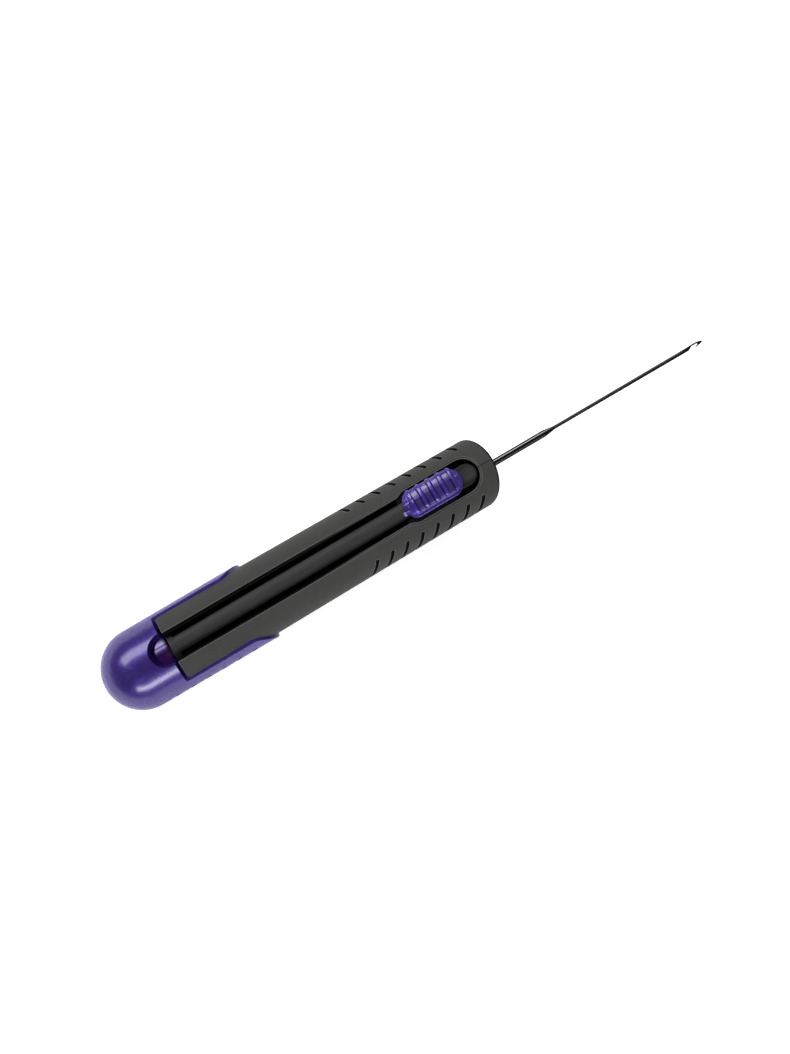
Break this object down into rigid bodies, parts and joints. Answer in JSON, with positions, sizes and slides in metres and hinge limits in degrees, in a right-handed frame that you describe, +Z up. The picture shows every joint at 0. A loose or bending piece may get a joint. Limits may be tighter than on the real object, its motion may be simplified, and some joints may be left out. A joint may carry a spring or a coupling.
{
  "type": "needle threader",
  "caption": "Hand tool with a thin hooked needle that slides out of a round tapered handle when its thumb button is pushed, with a pull-off cap at the rear.",
  "frame": {"origin": "under the middle of the tool, on the surface that its flat underside rests on", "axes": "+X along the tool toward the tip of the hook, +Z up through the thumb button, +Y to the left of a hand that pushes the button forward"},
  "size_m": [0.1414, 0.0172, 0.0169],
  "materials": {
    "soft_black": "soft-touch matte",
    "rail_black": "satin",
    "bush_brass": "turned",
    "clear_purple": "translucent gloss",
    "carriage_grey": "satin",
    "needle_steel": "polished dark steel",
    "screw_steel": "black oxide",
    "spring_steel": "rolled spring steel"
  },
  "bodies": {
    "handle": {"left_shell": "soft_black", "right_shell": "soft_black", "guide_rail": "rail_black", "needle_bush": "bush_brass"},
    "slider": {"thumb_button": "clear_purple", "carriage": "carriage_grey", "hook_needle": "needle_steel", "needle_screw": "screw_steel", "detent_spring": "spring_steel"},
    "cap": {"end_cap": "clear_purple"}
  },
  "joints": [
    {"name": "hook_slide", "type": "slide", "parent": "handle", "child": "slider", "axis": [-1, 0, 0], "range_m": [0, 0.058]},
    {"name": "cap_pull", "type": "slide", "parent": "handle", "child": "cap", "axis": [-1, 0, 0], "range_m": [0, 0.03]}
  ]
}
